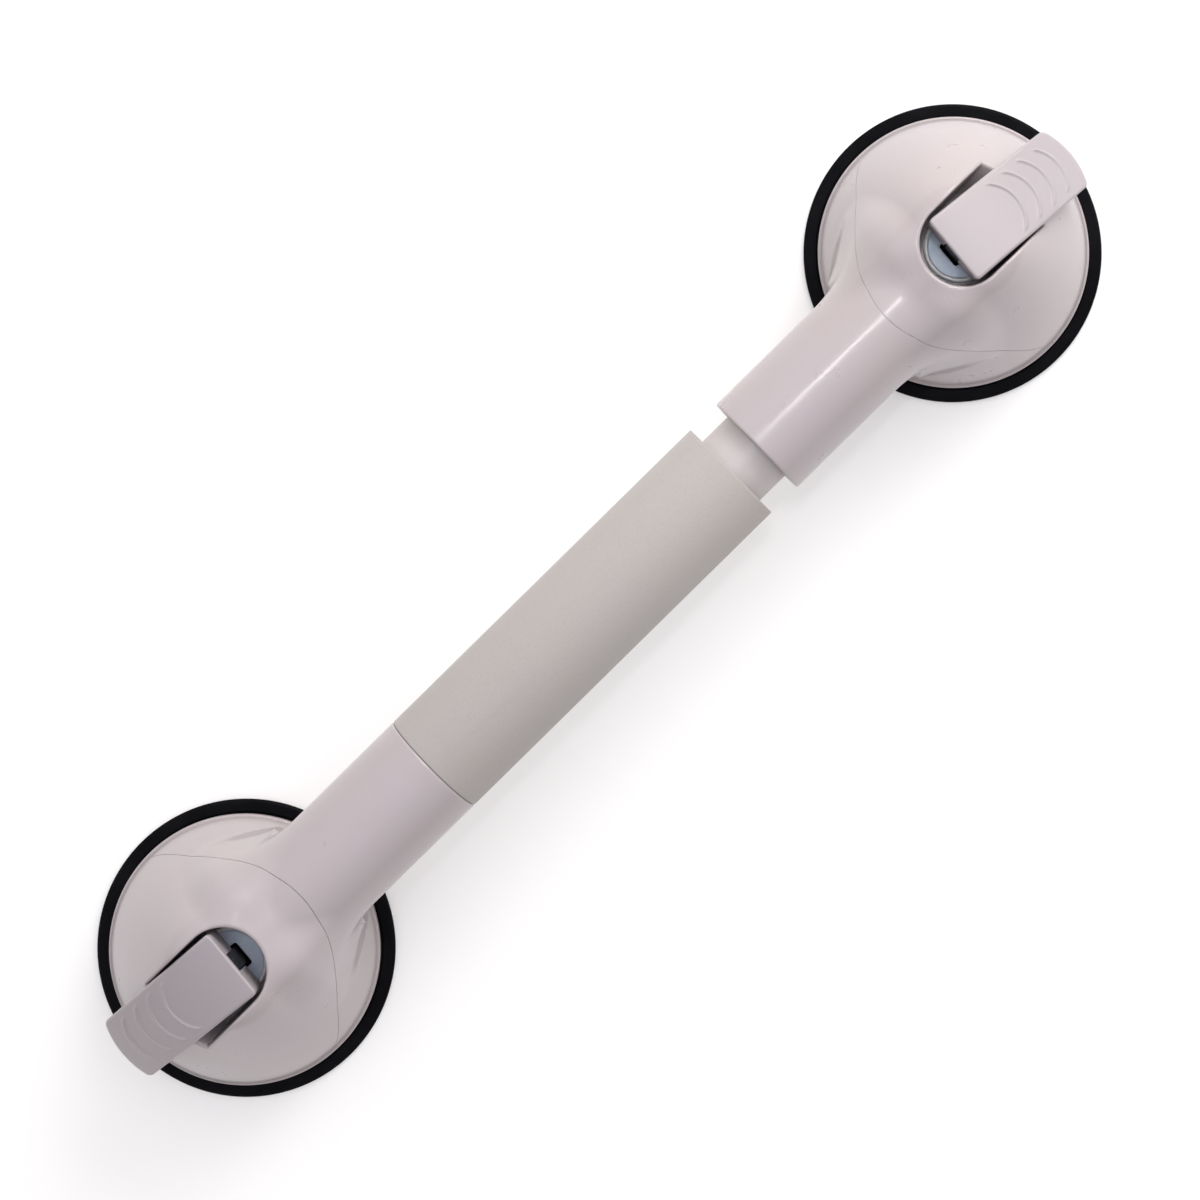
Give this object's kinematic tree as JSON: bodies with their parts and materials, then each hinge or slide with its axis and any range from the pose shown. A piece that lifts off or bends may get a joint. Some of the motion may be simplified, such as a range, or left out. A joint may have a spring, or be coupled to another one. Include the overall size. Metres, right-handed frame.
{
  "type": "telescopic suction grab bar",
  "caption": "Telescopic suction grab bar: domed suction heads with flip levers, joined by a soft-sleeved round bar that slides out and turns.",
  "frame": {"origin": "on the wall plane that both suction cups rest on, midway between the two heads' centres", "axes": "+X along the bar towards the sliding head, +Z away from the wall"},
  "size_m": [0.5186, 0.12, 0.0817],
  "materials": {
    "head_shell": "satin to glossy lilac-white moulded plastic",
    "lever": "satin lilac-white moulded plastic with four raised arcs",
    "suction_rubber": "soft black rubber, low sheen",
    "zinc_steel": "bright bluish zinc plating",
    "draw_steel": "plain turned and milled steel",
    "screw_steel": "zinc-plated screw steel",
    "grip": "matte cream-grey soft sleeve",
    "inner_tube": "satin cream-white tube, slightly translucent",
    "inner_plastic": "plain white moulded plastic",
    "plug_plastic": "dark grey low-friction plastic",
    "ring_rubber": "black O-ring rubber"
  },
  "bodies": {
    "left_side": {"left_head_body": "head_shell", "left_head_cap": "head_shell", "left_cap_screws": "screw_steel", "left_washer": "zinc_steel", "left_cup": "suction_rubber", "left_socket_screw": "screw_steel", "outer_tube": "inner_plastic", "grip_sleeve": "grip", "guide_bush": "inner_plastic"},
    "left_draw": {"left_cup_core": "zinc_steel", "left_draw_bar": "draw_steel", "left_lever_pin": "draw_steel"},
    "left_lever": {"left_lever": "lever"},
    "slide_plug": {"slide_plug": "plug_plastic", "slide_plug_ring": "ring_rubber", "slide_plug_screw": "screw_steel"},
    "right_side": {"right_head_body": "head_shell", "right_head_cap": "head_shell", "right_cap_screws": "screw_steel", "right_washer": "zinc_steel", "right_cup": "suction_rubber", "right_socket_screw": "screw_steel", "inner_tube": "inner_tube", "tube_adapter": "inner_plastic", "tube_end_cap": "inner_plastic"},
    "right_draw": {"right_cup_core": "zinc_steel", "right_draw_bar": "draw_steel", "right_lever_pin": "draw_steel"},
    "right_lever": {"right_lever": "lever"}
  },
  "joints": [
    {"name": "left_draw_slide", "type": "slide", "parent": "left_side", "child": "left_draw", "axis": [0, 0, 1], "range_m": [-0.0062, 0], "deforming": ["left_cup"]},
    {"name": "left_lever_hinge", "type": "hinge", "parent": "left_draw", "child": "left_lever", "pos_m": [-0.1993, 0, 0.0734], "axis": [0.0802, 0.9968, 0], "range_deg": [0, 90]},
    {"name": "telescope_slide", "type": "slide", "parent": "left_side", "child": "slide_plug", "axis": [1, 0, 0], "range_m": [-0.0125, 0.1]},
    {"name": "bar_swivel", "type": "hinge", "parent": "slide_plug", "child": "right_side", "pos_m": [-0.066, 0, 0.052], "axis": [1, 0, 0], "continuous": true},
    {"name": "right_draw_slide", "type": "slide", "parent": "right_side", "child": "right_draw", "axis": [0, 0, 1], "range_m": [-0.0062, 0], "deforming": ["right_cup"]},
    {"name": "right_lever_hinge", "type": "hinge", "parent": "right_draw", "child": "right_lever", "pos_m": [0.1993, 0, 0.0734], "axis": [-0.0802, -0.9968, 0], "range_deg": [0, 90]}
  ],
  "couplings": [
    {"joint": "left_draw_slide", "follows": "left_lever_hinge", "m_per_rad": -0.003815},
    {"joint": "right_draw_slide", "follows": "right_lever_hinge", "m_per_rad": -0.003815}
  ]
}
